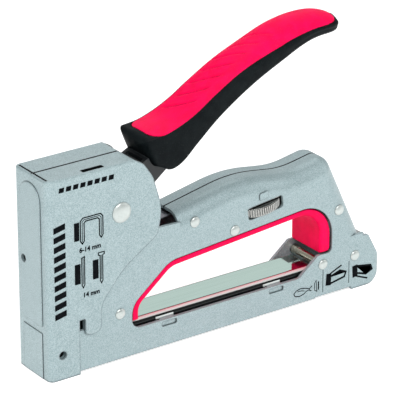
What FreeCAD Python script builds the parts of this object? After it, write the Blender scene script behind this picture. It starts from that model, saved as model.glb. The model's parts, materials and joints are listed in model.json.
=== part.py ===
import FreeCAD, Part
import math
import os

from FreeCAD import Placement, Rotation, Vector

# Hand staple gun. Every outline is drawn from the nose: X = 0 at the front face, +X towards the
# rear, Y = 0 at the middle plane, Z = 0 at the bottom. The placements then move the whole tool
# forward by half its length, so that the origin is the middle of the footprint.

DOC = FreeCAD.newDocument("staple_gun")
SHEET = DOC.addObject("Spreadsheet::Sheet", "dims")

DRIVING_DIMENSIONS = {
    # outside
    "tool_length": 190.8,
    "housing_width": 27.4,
    "housing_height": 99.0,
    "housing_gauge": 1.3,
    "front_emboss": 0.6,
    "front_bend": 3.0,
    "frame_width": 24.8,
    "plate_gauge": 1.5,
    "bar_round": 8.0,
    "bar_front": 73.0,
    "half_seam": 0.3,
    "rear_top_x": 161.6,
    "rear_top_z": 72.4,
    "notch_x": 182.0,
    "notch_z": 27.7,
    # hand hole
    "hole_front": 46.5,
    "hole_rear": 162.6,
    "hole_floor": 14.2,
    "hole_top_rear": 51.3,
    "liner_width": 23.6,
    "liner_gap": 0.35,
    # lever
    "pivot_x": 40.5,
    "pivot_z": 75.1,
    "pivot_radius": 3.0,
    "pivot_head_radius": 5.0,
    "pivot_head_rise": 1.6,
    "sleeve_radius": 4.6,
    "lever_width": 16.6,
    "lever_gauge": 2.0,
    "fork_reach": 33.5,
    "squeeze_angle": 30.0,
    "grip_width": 24.0,
    "inlay_width": 22.4,
    "running_gap": 0.05,
    # rivets
    "rivet_radius": 1.5,
    "rivet_head_radius": 2.65,
    "rivet_head_rise": 1.1,
    "spacer_radius": 2.6,
    # driver
    "blade_width": 11.2,
    "blade_gauge": 1.2,
    "blade_front": 2.2,
    "carrier_width": 11.2,
    "carrier_pin_radius": 1.5,
    # leaf spring
    "leaf_bottom": 62.6,
    "leaf_width": 11.0,
    "main_leaf_gauge": 1.2,
    "helper_leaf_gauge": 1.0,
    # power wheel
    "wheel_x": 122.7,
    "wheel_z": 55.8,
    "wheel_tilt": 7.0,
    "wheel_radius": 14.3,
    "wheel_thickness": 4.2,
    "screw_radius": 2.5,
    # magazine
    "cover_width": 19.4,
    "cover_top": 17.05,
    "cover_gauge": 0.8,
    "cover_end": 153.0,
    "channel_width": 13.4,
    "channel_gauge": 0.75,
    "rail_width": 9.4,
    "rail_top": 14.2,
    "rail_gauge": 0.8,
    "rod_radius": 1.2,
    "rod_height": 9.0,
    # rear latch
    "latch_pin_x": 184.0,
    "latch_pin_z": 18.5,
    "latch_pin_radius": 1.0,
}

for row, (alias, value) in enumerate(DRIVING_DIMENSIONS.items(), start=1):
    SHEET.set(f"A{row}", alias.replace("_", " "))
    SHEET.set(f"B{row}", str(value))
    SHEET.setAlias(f"B{row}", alias)
DOC.recompute()


def dim(alias):
    return float(SHEET.get(alias))


LENGTH = dim("tool_length")
SHIFT = Vector(-LENGTH / 2, 0, 0)
FRAME_HALF = dim("frame_width") / 2
INNER_HALF = FRAME_HALF - dim("plate_gauge")
HOUSING_HALF = dim("housing_width") / 2
PIVOT = (dim("pivot_x"), dim("pivot_z"))
SMALL_RIVETS = {
    "front_low": (40.0, 23.9),
    "bar_front": (82.0, 59.3),
    "bar_low": (104.8, 49.2),
    "rear_top": (166.6, 44.2),
    "rear_front": (157.4, 17.9),
    "rear_back": (176.9, 17.6),
}
PLAIN_SPACERS = ("front_low", "bar_front", "bar_low", "rear_top")

NODES = []


# ---------------------------------------------------------------- drawing helpers

def rounded(points):
    """Closed outline through (across, up, corner radius) points, as lines and tangent arcs."""
    corners = [(Vector(p[0], p[1], 0), p[2] if len(p) > 2 else 0) for p in points]
    ends = []
    count = len(corners)
    for index, (corner, radius) in enumerate(corners):
        before = (corners[index - 1][0] - corner).normalize()
        after = (corners[(index + 1) % count][0] - corner).normalize()
        if radius == 0:
            ends.append((corner, None, corner))
            continue
        half = before.getAngle(after) / 2
        back = radius / math.tan(half)
        inward = (before + after).normalize()
        centre = corner + inward * (radius / math.sin(half))
        ends.append((corner + before * back, centre - inward * radius, corner + after * back))
    edges = []
    for index, (start, middle, end) in enumerate(ends):
        if middle is not None:
            edges.append(Part.Arc(start, middle, end))
        following = ends[(index + 1) % count][0]
        if (following - end).Length > 1e-6:
            edges.append(Part.LineSegment(end, following))
    return edges


def inset(points, distances):
    """The same outline with each side moved in; distances[i] is for the side after point i."""
    count = len(points)
    flat = [Vector(p[0], p[1], 0) for p in points]
    area = sum(flat[i].cross(flat[(i + 1) % count]).z for i in range(count))
    turn = 1 if area > 0 else -1
    sides = []
    for index in range(count):
        run = (flat[(index + 1) % count] - flat[index]).normalize()
        inward = Vector(-run.y, run.x, 0) * turn
        sides.append((flat[index] + inward * distances[index], run))
    result = []
    for index in range(count):
        (base_a, run_a), (base_b, run_b) = sides[index - 1], sides[index]
        cross = run_a.cross(run_b).z
        along = (base_b - base_a).cross(run_b).z / cross
        corner = base_a + run_a * along
        radius = points[index][2] if len(points[index]) > 2 else 0
        if radius:
            convex = cross * turn > 0
            radius = max(radius + (-1 if convex else 1) * distances[index], 0.2)
        result.append((corner.x, corner.y, radius))
    return result


def circle(across, up, radius):
    return [Part.Circle(Vector(across, up, 0), Vector(0, 0, 1), radius)]


def box_outline(low_a, low_b, high_a, high_b, radius=0):
    return rounded([(low_a, low_b, radius), (high_a, low_b, radius),
                    (high_a, high_b, radius), (low_a, high_b, radius)])


def new_body(label):
    body = DOC.addObject("PartDesign::Body", label)
    body.Label = label
    body.setExpression("Placement.Base.x", "-dims.tool_length / 2")
    NODES.append(body)
    return body


def set_size(feature, name, size):
    if isinstance(size, str):
        feature.setExpression(name, size)
    else:
        setattr(feature, name, size)


def draw(body, plane_role, outlines, start=0.0):
    """A sketch on the body's own plane; start is the distance along the plane's normal."""
    plane = next(item for item in body.Origin.OriginFeatures if item.Role == plane_role)
    sketch = body.newObject("Sketcher::SketchObject", body.Name + "_sketch")
    sketch.AttachmentSupport = [(plane, "")]
    sketch.MapMode = "FlatFace"
    sketch.AttachmentOffset = Placement(Vector(0, 0, start), Rotation())
    for outline in outlines:
        sketch.addGeometry(outline, False)
    return sketch


def extrude(kind, body, plane_role, outlines, length, start=0.0, middle=False, reverse=False):
    feature = body.newObject("PartDesign::" + kind, body.Name + "_" + kind.lower())
    feature.Profile = draw(body, plane_role, outlines, start)
    set_size(feature, "Length", length)
    feature.Midplane = middle
    feature.Reversed = reverse
    DOC.recompute()
    return feature


def pad(body, plane_role, outlines, length, **options):
    return extrude("Pad", body, plane_role, outlines, length, **options)


def pocket(body, plane_role, outlines, length, **options):
    before = body.Shape.Volume
    feature = extrude("Pocket", body, plane_role, outlines, length, **options)
    if body.Shape.Volume >= before - 1e-6:
        raise RuntimeError(f"{feature.Name} on {body.Label} cuts nothing")
    return feature


def edge_names(feature, wanted):
    """Names of the edges whose middle point and ends pass the test."""
    names = []
    for index, edge in enumerate(feature.Shape.Edges, start=1):
        span = (edge.FirstParameter + edge.LastParameter) / 2
        if wanted(edge.valueAt(span), edge):
            names.append(f"Edge{index}")
    return names


def fillet(body, radius, wanted):
    base = body.Tip
    names = edge_names(base, wanted)
    if not names:
        raise RuntimeError(f"no edge of {body.Label} to round")
    feature = body.newObject("PartDesign::Fillet", body.Name + "_fillet")
    feature.Base = (base, names)
    set_size(feature, "Radius", radius)
    DOC.recompute()
    if "Invalid" in feature.State or "Error" in feature.State:
        raise RuntimeError(f"{feature.Name} failed on {names}")
    return feature


def revolved(outline, centre, axis):
    """Solid of revolution: outline is (radius, distance along the axis) points."""
    face = Part.Face(Part.Wire([edge.toShape() for edge in rounded(outline)]))
    solid = face.revolve(Vector(0, 0, 0), Vector(0, 1, 0), 360)
    solid.Placement = Placement(centre, Rotation(Vector(0, 1, 0), axis))
    return solid


def shape_node(label, shape):
    """A sub-part whose shape is made outright, such as a coil or a group of equal fasteners."""
    feature = DOC.addObject("Part::Feature", label)
    feature.Label = label
    feature.Shape = shape
    feature.Placement = Placement(SHIFT, Rotation()).multiply(feature.Placement)
    NODES.append(feature)
    return feature


def coil(mean_radius, wire_radius, pitch, height, base, axis):
    """Helical wire of round section, with its axis from base along axis."""
    path = Part.makeHelix(pitch, height, mean_radius)
    start = Part.Circle(Vector(mean_radius, 0, 0), Vector(0, 1, 0), wire_radius)
    section = Part.Wire([start.toShape()])
    wire = Part.Wire(path.Edges).makePipeShell([section], True, True)
    wire.Placement = Placement(base, Rotation(Vector(0, 0, 1), axis))
    return wire


def domed_rivet(at, half_grip, shank_radius, head_radius, head_rise):
    """Rivet across the tool: round shank with a low domed head on each side."""
    dome_radius = (head_radius ** 2 + head_rise ** 2) / (2 * head_rise)
    profile = []
    crown = half_grip + head_rise
    middle_r = head_radius * 0.6
    middle_z = crown - (dome_radius - math.sqrt(dome_radius ** 2 - middle_r ** 2))
    points = [Vector(0, -crown, 0), Vector(middle_r, -middle_z, 0), Vector(head_radius, -half_grip, 0),
              Vector(shank_radius, -half_grip, 0), Vector(shank_radius, half_grip, 0),
              Vector(head_radius, half_grip, 0), Vector(middle_r, middle_z, 0), Vector(0, crown, 0)]
    profile.append(Part.Arc(points[0], points[1], points[2]).toShape())
    for first, second in ((2, 3), (3, 4), (4, 5)):
        profile.append(Part.LineSegment(points[first], points[second]).toShape())
    profile.append(Part.Arc(points[5], points[6], points[7]).toShape())
    profile.append(Part.LineSegment(points[7], points[0]).toShape())
    solid = Part.Face(Part.Wire(profile)).revolve(Vector(0, 0, 0), Vector(0, 1, 0), 360)
    solid.Placement = Placement(Vector(at[0], 0, at[1]), Rotation())
    return solid


def cross_tube(at, outer_radius, inner_radius, half_length):
    base = Vector(at[0], -half_length, at[1])
    across = Vector(0, 1, 0)
    outer = Part.makeCylinder(outer_radius, 2 * half_length, base, across)
    return outer.cut(Part.makeCylinder(inner_radius, 2 * half_length, base, across))


# ---------------------------------------------------------------- frame side plates

def bar_outline():
    """The hollow bar above the hand hole: front end, bottom, rear slope and wavy top."""
    return [(dim("bar_front"), dim("notch_z")), (dim("notch_x"), dim("notch_z")),
            (dim("rear_top_x"), dim("rear_top_z"), 6.5), (139.8, 68.4, 45.0),
            (110.5, 72.9, 70.0), (dim("bar_front"), 65.4)]


def hand_hole_outline(gap=0.0):
    points = [(dim("hole_front"), dim("hole_floor"), 4.5), (143.0, dim("hole_floor"), 2.0),
              (154.3, 23.3, 1.5), (dim("hole_rear"), 23.3, 2.5),
              (dim("hole_rear"), dim("hole_top_rear"), 17.0), (67.8, 43.3, 14.0),
              (46.6, 26.0, 10.0)]
    return inset(points, [gap] * len(points)) if gap else points


def tilted_slot(length, height, lift):
    """Slot outline that leans with the wheel; lift is its centre's height over the wheel's."""
    tilt = math.radians(dim("wheel_tilt"))
    corners = []
    for along, up in ((-1, -1), (1, -1), (1, 1), (-1, 1)):
        a = along * length / 2
        b = up * height / 2 + lift
        corners.append((dim("wheel_x") + a * math.cos(tilt) - b * math.sin(tilt),
                        dim("wheel_z") + a * math.sin(tilt) + b * math.cos(tilt), 1.4))
    return rounded(corners)


def side_plate(label):
    """Left half of the frame, one pressing: flat side, rounded bar top and rear edge."""
    body = new_body(label)
    bar = bar_outline()
    top_line_start = dim("notch_z") + 0.01
    pad(body, "XZ_Plane", [rounded(bar)], "dims.frame_width / 2")
    gauge = dim("plate_gauge")
    inside = inset(bar, [-2.0, gauge, gauge, gauge, gauge, -2.0])
    inside[0] = (inside[0][0], inside[0][1] - 6.0)
    inside[1] = (inside[1][0] + 2.65, inside[1][1] - 6.0)
    pocket(body, "XZ_Plane", [rounded(inside)], "dims.frame_width / 2 - dims.plate_gauge",
           reverse=True)
    plane_of = {"inner": -INNER_HALF, "outer": -FRAME_HALF}

    def on_top(level):
        def test(middle, edge):
            heights = [vertex.Point for vertex in edge.Vertexes]
            at_level = all(abs(point.y - plane_of[level]) < 1e-4 for point in heights)
            lowest = min(point.z for point in heights)
            upright = abs(heights[0].x - heights[-1].x) < 1e-4
            return at_level and not upright and max(p.z for p in heights) > lowest + 1e-3 \
                and middle.z > top_line_start + 1.0
        return test

    fillet(body, "dims.bar_round - dims.plate_gauge", on_top("inner"))
    fillet(body, "dims.bar_round", on_top("outer"))
    lower = [(3.6, 1.0, 1.0), (153.0, 1.0), (153.0, 1.5), (174.8, 1.5), (174.8, 0.0, 0.5),
             (LENGTH, 0.0, 6.5), (LENGTH, 15.5, 6.0), (184.9, 26.8, 1.2), (181.9, 26.8),
             (181.9, 28.5), (74.0, 28.5), (74.0, 61.4), (58.5, 61.8, 1.5), (58.5, 73.0, 4.0),
             (50.0, 90.0, 4.0), (3.6, 90.0, 2.0)]
    pad(body, "XZ_Plane", [rounded(lower)], "dims.plate_gauge", start=INNER_HALF)
    window = box_outline(16.5, 21.3, 20.4, 27.6, 0.4)
    cuts = [rounded(hand_hole_outline()), tilted_slot(20.4, 6.3, 0.6), window,
            circle(*PIVOT, dim("pivot_radius")), circle(7.7, 12.3, 2.0)]
    cuts += [circle(*at, dim("rivet_radius")) for at in SMALL_RIVETS.values()]
    pocket(body, "XZ_Plane", cuts, 4.0, start=INNER_HALF - 1.0, reverse=True)
    for start_x in (63.2, 125.2):
        recess = box_outline(start_x, 10.7, start_x + 8.4, 13.2, 0.8)
        pocket(body, "XZ_Plane", [recess], 2.0, start=FRAME_HALF - 0.7, reverse=True)
        tab = box_outline(start_x + 0.2, 12.7, start_x + 8.2, dim("hole_floor"), 0.4)
        pad(body, "XZ_Plane", [tab], 1.4, start=dim("cover_width") / 2 + 0.05)
    seam = box_outline(dim("bar_front") - 1.0, 20.0, 190.0, 90.0)
    pocket(body, "XZ_Plane", [seam], "dims.half_seam", reverse=True)
    boss = rounded([(118.9, 60.9, 0.8), (124.1, 61.5, 0.8), (124.1, 65.0, 0.8), (118.9, 64.4, 0.8)])
    pad(body, "XZ_Plane", [boss], 0.4 + 0.3, start=FRAME_HALF - 0.3)
    return body


left_plate = side_plate("side_plate_left")
right_plate = DOC.addObject("Part::Mirroring", "side_plate_right")
right_plate.Label = "side_plate_right"
right_plate.Source = left_plate
right_plate.Base = Vector(0, 0, 0)
right_plate.Normal = Vector(0, 1, 0)
NODES.append(right_plate)


# ---------------------------------------------------------------- nose

def front_housing():
    """Wrap-round front cover: front wall, two side walls and a top that meets at a seam."""
    body = new_body("front_housing")
    front = dim("front_emboss")
    height = dim("housing_height")
    bend = dim("front_bend")
    plan = [(front, -HOUSING_HALF, bend), (75.0, -HOUSING_HALF), (75.0, HOUSING_HALF),
            (front, HOUSING_HALF, bend)]
    pad(body, "XY_Plane", [rounded(plan)], "dims.housing_height")

    def top_rim(middle, edge):
        return abs(middle.z - height) < 1e-3 and middle.x < 70.0

    fillet(body, 0.9, top_rim)
    behind = [(17.0, -9.0), (17.0, 27.3, 0.4), (20.2, 27.3, 0.4), (20.2, 18.7, 2.5),
              (29.0, 18.7, 3.5), (29.0, 32.0, 10.0), (41.0, 46.8, 40.0), (60.3, 59.2, 5.0),
              (62.8, 72.0, 25.0), (57.8, 88.6, 15.0), (52.6, 96.2, 7.0), (46.5, 99.6),
              (46.5, 110.0), (85.0, 110.0), (85.0, -9.0)]
    pocket(body, "XZ_Plane", [rounded(behind)], "dims.housing_width + 2", middle=True)
    gauge = dim("housing_gauge")
    inner_front = front + gauge
    inner_top = height - gauge
    inside = [(inner_front, -2.0), (75.0, -2.0), (75.0, height + 9.0), (49.0, height + 9.0),
              (49.0, inner_top), (inner_front, inner_top)]
    pocket(body, "XZ_Plane", [rounded(inside)], "dims.frame_width", middle=True)
    arch = rounded([(-8.4, 26.5, 1.0), (8.4, 26.5, 1.0), (8.4, 95.0, 8.0), (-8.4, 95.0, 8.0)])
    pad(body, "YZ_Plane", [arch], "dims.front_emboss + 0.2")

    def arch_rim(middle, edge):
        return abs(middle.x) < 1e-4 and middle.z > 26.0

    fillet(body, 0.45, arch_rim)
    pocket(body, "YZ_Plane", [box_outline(-8.0, -3.0, 8.0, 23.2)], 4.0, start=-1.0, reverse=True)
    pocket(body, "YZ_Plane", [circle(6.0, 55.9, 1.9)], 4.0, start=-1.0, reverse=True)
    through = [circle(*PIVOT, dim("pivot_radius")), circle(7.7, 12.3, 2.0)]
    pocket(body, "XZ_Plane", through, "dims.housing_width + 2", middle=True)
    seam = box_outline(inner_front, -0.4, 60.0, 0.4)
    pocket(body, "XY_Plane", [seam], 6.0, start=height - 3.0, reverse=True)
    front_gap = box_outline(inner_front, -11.4, inner_front + 0.9, 11.4)
    pocket(body, "XY_Plane", [front_gap], 4.0, start=height - 3.0, reverse=True)
    spring_slot = box_outline(21.0, -12.3, 32.4, -9.6, 0.6)
    pocket(body, "XY_Plane", [spring_slot], 4.0, start=height - 3.0, reverse=True)
    return body


def across_block(label, outline, width, cuts=()):
    """A piece that runs straight across the tool, centred on the middle plane."""
    body = new_body(label)
    pad(body, "XZ_Plane", [outline], width, middle=True)
    for cut_outline, cut_width in cuts:
        pocket(body, "XZ_Plane", [cut_outline], cut_width, middle=True)
    return body


WALL_INSIDE = dim("front_emboss") + dim("housing_gauge")
BLADE_FRONT = dim("blade_front")
BLADE_BACK = BLADE_FRONT + dim("blade_gauge")
LIFT_RATIO = 2 * dim("fork_reach") * math.tan(math.radians(dim("squeeze_angle") / 2)) \
    / math.radians(dim("squeeze_angle"))
CARRIER_BACK = 10.6
CARRIER_LOW = 44.5
CARRIER_HIGH = 76.0
PIN_AT = (PIVOT[0] - dim("fork_reach"), 71.25)
CARRIER_RIVET_HEIGHTS = (59.5, 65.0)

front_housing()
across_block("nose_plate", box_outline(0.3, 0.0, WALL_INSIDE, 23.0, 0.3), 15.8)
NOSE_BLOCK_FRONT = 4.4
across_block("nose_block", box_outline(NOSE_BLOCK_FRONT, 16.2, 15.0, 38.0, 0.5),
             "dims.frame_width - 2 * dims.plate_gauge")
across_block("driver_bumper", box_outline(NOSE_BLOCK_FRONT, 38.0, 10.4, 44.2, 0.8), 10.0)


def driver_guide():
    """Two upright rails beside the blade, joined by a strip behind it at the bottom."""
    body = new_body("driver_guide")
    strip = box_outline(-7.9, 24.0, 7.9, 32.0)
    pad(body, "YZ_Plane", [strip], NOSE_BLOCK_FRONT - BLADE_BACK - 0.3, start=BLADE_BACK + 0.3)
    rails = [box_outline(low, 24.0, low + 2.0, 52.0) for low in (-7.9, 5.9)]
    pad(body, "YZ_Plane", rails, NOSE_BLOCK_FRONT - WALL_INSIDE, start=WALL_INSIDE)
    return body


driver_guide()


# ---------------------------------------------------------------- driver

def driver_blade():
    body = new_body("driver_blade")
    half = dim("blade_width") / 2
    pad(body, "YZ_Plane", [box_outline(-half, 0.4, half, 74.0, 0.3)], "dims.blade_gauge",
        start=BLADE_FRONT)
    holes = [circle(0.0, height, 1.2) for height in CARRIER_RIVET_HEIGHTS]
    pocket(body, "YZ_Plane", holes, 6.0, start=BLADE_FRONT - 2.0, reverse=True)
    return body


def driver_carrier():
    """Block that the fork lifts by its cross pin and the leaf spring pushes down."""
    body = new_body("driver_carrier")
    half = dim("carrier_width") / 2
    pad(body, "YZ_Plane", [box_outline(-half, CARRIER_LOW, half, CARRIER_HIGH, 0.6)],
        CARRIER_BACK - BLADE_BACK, start=BLADE_BACK)
    cuts = [box_outline(-3.5, 48.5, 3.5, 55.5, 0.5)]
    cuts += [circle(0.0, height, 1.2) for height in CARRIER_RIVET_HEIGHTS]
    pocket(body, "YZ_Plane", cuts, 12.0, start=BLADE_BACK - 1.0, reverse=True)
    pocket(body, "XZ_Plane", [circle(*PIN_AT, dim("carrier_pin_radius"))], 20.0, middle=True)
    return body


driver_blade()
driver_carrier()
across_block("carrier_pin", circle(*PIN_AT, dim("carrier_pin_radius")), 17.6)
carrier_rivets = []
for rivet_height in CARRIER_RIVET_HEIGHTS:
    shank = Part.makeCylinder(1.2, CARRIER_BACK - BLADE_FRONT, Vector(BLADE_FRONT, 0, rivet_height),
                              Vector(1, 0, 0))
    head = Part.makeCylinder(2.0, 0.8, Vector(CARRIER_BACK, 0, rivet_height), Vector(1, 0, 0))
    carrier_rivets.append(shank.fuse(head))
shape_node("carrier_rivets", Part.Compound(carrier_rivets))


# ---------------------------------------------------------------- rivets and spacers

PIVOT_RIVET = domed_rivet(PIVOT, HOUSING_HALF, dim("pivot_radius"), dim("pivot_head_radius"),
                          dim("pivot_head_rise"))
shape_node("pivot_rivet", PIVOT_RIVET)
shape_node("body_rivets", Part.Compound(
    [domed_rivet(at, FRAME_HALF, dim("rivet_radius"), dim("rivet_head_radius"),
                 dim("rivet_head_rise")) for at in SMALL_RIVETS.values()]))
DOC.recompute()
PLATE_SHAPES = [plate.Shape.translated(-SHIFT) for plate in (left_plate, right_plate)]
shape_node("body_spacers", Part.Compound(
    [cross_tube(SMALL_RIVETS[name], dim("spacer_radius"), dim("rivet_radius"), INNER_HALF)
     .cut(PLATE_SHAPES[0]).cut(PLATE_SHAPES[1]) for name in PLAIN_SPACERS]))
shape_node("rear_cross_sleeve",
           cross_tube(SMALL_RIVETS["rear_front"], 2.25, dim("rivet_radius"), INNER_HALF))
shape_node("rear_stop_sleeve",
           cross_tube(SMALL_RIVETS["rear_back"], 2.0, dim("rivet_radius"), INNER_HALF))


# ---------------------------------------------------------------- hand hole liner and magazine body

def hand_hole_liner():
    """Soft edging that lines the front, top and rear of the hand hole."""
    gap = dim("liner_gap")
    front = dim("hole_front") + gap
    rear = dim("hole_rear") - gap
    outline = [(front, 18.2), (front, 26.1, 9.8), (67.9, 43.1, 13.8),
               (rear, dim("hole_top_rear") - gap, 16.8), (rear, 23.5, 2.3), (156.0, 23.5, 1.0),
               (156.0, 46.9, 11.5), (69.3, 39.6, 10.5), (50.8, 24.6, 7.0), (50.8, 18.2)]
    body = new_body("hand_hole_liner")
    pad(body, "XZ_Plane", [rounded(outline)], "dims.liner_width", middle=True)
    half = dim("liner_width") / 2

    def rim(middle, edge):
        return abs(abs(middle.y) - half) < 1e-4 and middle.z > 18.3

    fillet(body, 1.4, rim)
    return body


def channel(label, outer_width, top, bottom, gauge, start_x, end_x, shoulder):
    """Bent strip of inverted U section that runs along the tool."""
    body = new_body(label)
    half = outer_width / 2
    outer = rounded([(-half, bottom), (half, bottom), (half, top, shoulder), (-half, top, shoulder)])
    pad(body, "YZ_Plane", [outer], end_x - start_x, start=start_x)
    bend = max(shoulder - gauge, 0)
    inside = rounded([(-half + gauge, bottom - 1.0), (half - gauge, bottom - 1.0),
                      (half - gauge, top - gauge, bend), (-half + gauge, top - gauge, bend)])
    pocket(body, "YZ_Plane", [inside], end_x - start_x + 2.0, start=start_x - 1.0, reverse=True)
    return body


hand_hole_liner()
channel("magazine_cover", dim("cover_width"), dim("cover_top"), 3.0, dim("cover_gauge"),
        17.0, dim("cover_end"), 2.8)
channel("staple_channel", dim("channel_width"), 16.2, 1.5, dim("channel_gauge"), 3.8, 152.0, 0.9)


# ---------------------------------------------------------------- leaf spring

def leaf_path(bottom, gauge, front_x, rear_x):
    """Side view of one leaf: straight in the bar, bent down towards the nose."""
    slope = math.tan(math.radians(9.5))
    bend_x = 76.0
    drop = (bend_x - front_x) * slope
    low = [(rear_x, bottom), (bend_x, bottom, 120.0), (front_x, bottom - drop)]
    high = [(front_x, bottom - drop + gauge / math.cos(math.radians(9.5))),
            (bend_x, bottom + gauge, 120.0), (rear_x, bottom + gauge)]
    return rounded(low + high)


def leaf(label, bottom, gauge_alias, front_x, rear_x):
    body = new_body(label)
    gauge = dim(gauge_alias)
    if front_x < 70.0:
        outline = leaf_path(bottom, gauge, front_x, rear_x)
    else:
        outline = box_outline(front_x, bottom, rear_x, bottom + gauge)
    pad(body, "XZ_Plane", [outline], "dims.leaf_width", middle=True)
    pocket(body, "XY_Plane", [circle(ANCHOR_X, 0.0, 2.0)], 30.0, start=50.0, reverse=True)
    return body


ANCHOR_X = 150.0
LEAF_BOTTOM = dim("leaf_bottom")
HELPER_BOTTOM = LEAF_BOTTOM + dim("main_leaf_gauge")
LEAF_TOP = HELPER_BOTTOM + dim("helper_leaf_gauge")
main_leaf = leaf("main_leaf", LEAF_BOTTOM, "main_leaf_gauge", 5.0, 156.0)
for side in (-1, 1):
    edge_y = sorted((side * 3.0, side * 7.0))
    pocket(main_leaf, "XY_Plane", [box_outline(3.0, edge_y[0], 14.0, edge_y[1])], 30.0, start=40.0,
           reverse=True)
leaf("helper_leaf", HELPER_BOTTOM, "helper_leaf_gauge", 92.0, 156.0)
spring_anchor = across_block("spring_anchor", box_outline(143.5, 56.0, 157.5, LEAF_BOTTOM, 0.5),
                             "dims.frame_width - 2 * dims.plate_gauge")
pocket(spring_anchor, "XY_Plane", [circle(ANCHOR_X, 0.0, 2.0)], 6.0, start=58.0, reverse=True)
anchor_shank = Part.makeCylinder(2.0, LEAF_TOP - 58.0, Vector(ANCHOR_X, 0, 58.0))
anchor_head = revolved([(0.0, 0.0), (3.6, 0.0, 0.3), (3.6, 1.6, 1.2), (0.0, 2.4)],
                       Vector(ANCHOR_X, 0, LEAF_TOP), Vector(0, 0, 1))
shape_node("anchor_screw", anchor_shank.fuse(anchor_head))


# ---------------------------------------------------------------- power wheel

WHEEL_AT = Vector(dim("wheel_x"), 0, dim("wheel_z"))
WHEEL_TURN = Rotation(Vector(0, 1, 0), -dim("wheel_tilt"))


def wheel_body(label):
    """A body drawn about the wheel's centre, with Z along the screw."""
    body = new_body(label)
    body.setExpression("Placement.Base.x", "dims.wheel_x - dims.tool_length / 2")
    body.setExpression("Placement.Base.z", "dims.wheel_z")
    body.Placement = Placement(SHIFT + WHEEL_AT, WHEEL_TURN)
    return body


def power_wheel():
    body = wheel_body("power_wheel")
    half = dim("wheel_thickness") / 2
    pad(body, "XY_Plane", [circle(0.0, 0.0, dim("wheel_radius"))], "dims.wheel_thickness",
        start=-half)
    pocket(body, "XY_Plane", [circle(0.0, 0.0, dim("screw_radius") + dim("running_gap"))],
           "dims.wheel_thickness + 2", start=-half - 1.0, reverse=True)

    def rim(middle, edge):
        return abs(middle.Length - math.hypot(dim("wheel_radius"), half)) < 1e-2

    fillet(body, 0.6, rim)
    return body


def power_screw():
    """Threaded post that the wheel raises and lowers, with a pad under the leaves."""
    body = wheel_body("power_screw")
    pad(body, "XY_Plane", [circle(0.0, 0.0, dim("screw_radius"))], 10.6, start=-5.2)
    pad(body, "XY_Plane", [circle(0.0, 0.0, 3.8)], 0.8, start=5.4)
    return body


def wheel_bracket():
    """Strip bent round the wheel: floor, back and roof, with holes for the screw."""
    body = wheel_body("wheel_bracket")
    outline = rounded([(-13.0, -4.0), (16.2, -4.0, 1.5), (16.2, 3.9, 1.5), (-13.0, 3.9),
                       (-13.0, 2.5), (14.8, 2.5), (14.8, -2.5), (-13.0, -2.5)])
    pad(body, "XZ_Plane", [outline], "dims.frame_width - 2 * dims.plate_gauge", middle=True)
    pocket(body, "XY_Plane", [circle(0.0, 0.0, dim("screw_radius") + dim("running_gap"))], 12.0,
           start=-6.0, reverse=True)
    return body


power_wheel()
power_screw()
wheel_bracket()


# ---------------------------------------------------------------- lever and grip

REST_DROP = math.radians(dim("squeeze_angle") / 2)


def from_pivot(along, above):
    """Point on the fork: along it towards the nose, and above its centre line."""
    return (PIVOT[0] - along * math.cos(REST_DROP) - above * math.sin(REST_DROP),
            PIVOT[1] - along * math.sin(REST_DROP) + above * math.cos(REST_DROP))


TAIL = [(62.4, 82.8, 4.0), (76.0, 93.5, 30.0), (100.0, 111.5, 60.0), (118.0, 122.0, 60.0),
        (146.0, 134.8, 1.5), (146.0, 139.0, 1.5), (118.0, 128.0, 60.0), (100.0, 118.0, 60.0),
        (76.0, 102.0, 30.0), (58.0, 95.0, 4.0)]


def lever_outline():
    fork = [(*from_pivot(5.0, 9.0), 6.0), (*from_pivot(20.0, 2.5), 6.0),
            (*from_pivot(36.2, 2.5), 2.0), (*from_pivot(36.2, -2.5), 2.0),
            (*from_pivot(14.0, -3.5), 8.0), (*from_pivot(2.0, -10.5), 6.0),
            (*from_pivot(-10.0, -9.0), 5.0)]
    return fork + TAIL


def lever_arm():
    """Steel channel: fork in front, hub at the pivot, tail inside the grip."""
    body = new_body("lever_arm")
    outline = lever_outline()
    pad(body, "XZ_Plane", [rounded(outline)], "dims.lever_width", middle=True)
    gauge = dim("lever_gauge")
    width = dim("lever_width") - 2 * gauge
    front = box_outline(-5.0, 40.0, 57.5, 110.0)
    pocket(body, "XZ_Plane", [front], width, middle=True)
    tail = inset(TAIL, [-3.0, -3.0, -3.0, -3.0, gauge, gauge, gauge, gauge, gauge, -6.0])
    pocket(body, "XZ_Plane", [rounded([(p[0], p[1]) for p in tail])], width, middle=True)
    pocket(body, "XZ_Plane", [circle(*PIVOT, dim("sleeve_radius"))], 30.0, middle=True)
    return body


GRIP_CREST = [(75.5, 108.4, 40.0), (109.5, 131.5, 60.0), (141.0, 146.6, 50.0)]
GRIP_LOW = [(170.2, 134.6, 2.0), (154.5, 136.3, 25.0), (121.5, 121.2, 90.0), (92.0, 103.2, 60.0),
            (74.5, 86.4, 5.0), (59.6, 90.6, 2.0)]
GRIP_OUTLINE = [(54.8, 105.6, 2.0)] + GRIP_CREST + [(166.8, 142.2, 8.0), (173.0, 136.8, 2.2)] + GRIP_LOW


def grip_shell():
    body = new_body("grip_shell")
    pad(body, "XZ_Plane", [rounded(GRIP_OUTLINE)], "dims.grip_width", middle=True)
    pocket(body, "XZ_Plane", [rounded(inlay_outline(3.0))], "dims.inlay_width", middle=True)
    pocket(body, "XZ_Plane", [rounded(lever_outline())], "dims.lever_width", middle=True)
    return body


def inlay_outline(over):
    """Top layer of the grip; over is how far the outline goes above the grip's skin."""
    depth = 3.4
    skin = [(60.5, 106.35)] + GRIP_CREST + [(164.4, 142.6)]
    upper = [(point[0], point[1] + over, *point[2:]) for point in skin]
    lower = [(point[0], point[1] - depth, *point[2:]) for point in reversed(skin)]
    return upper + lower


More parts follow.
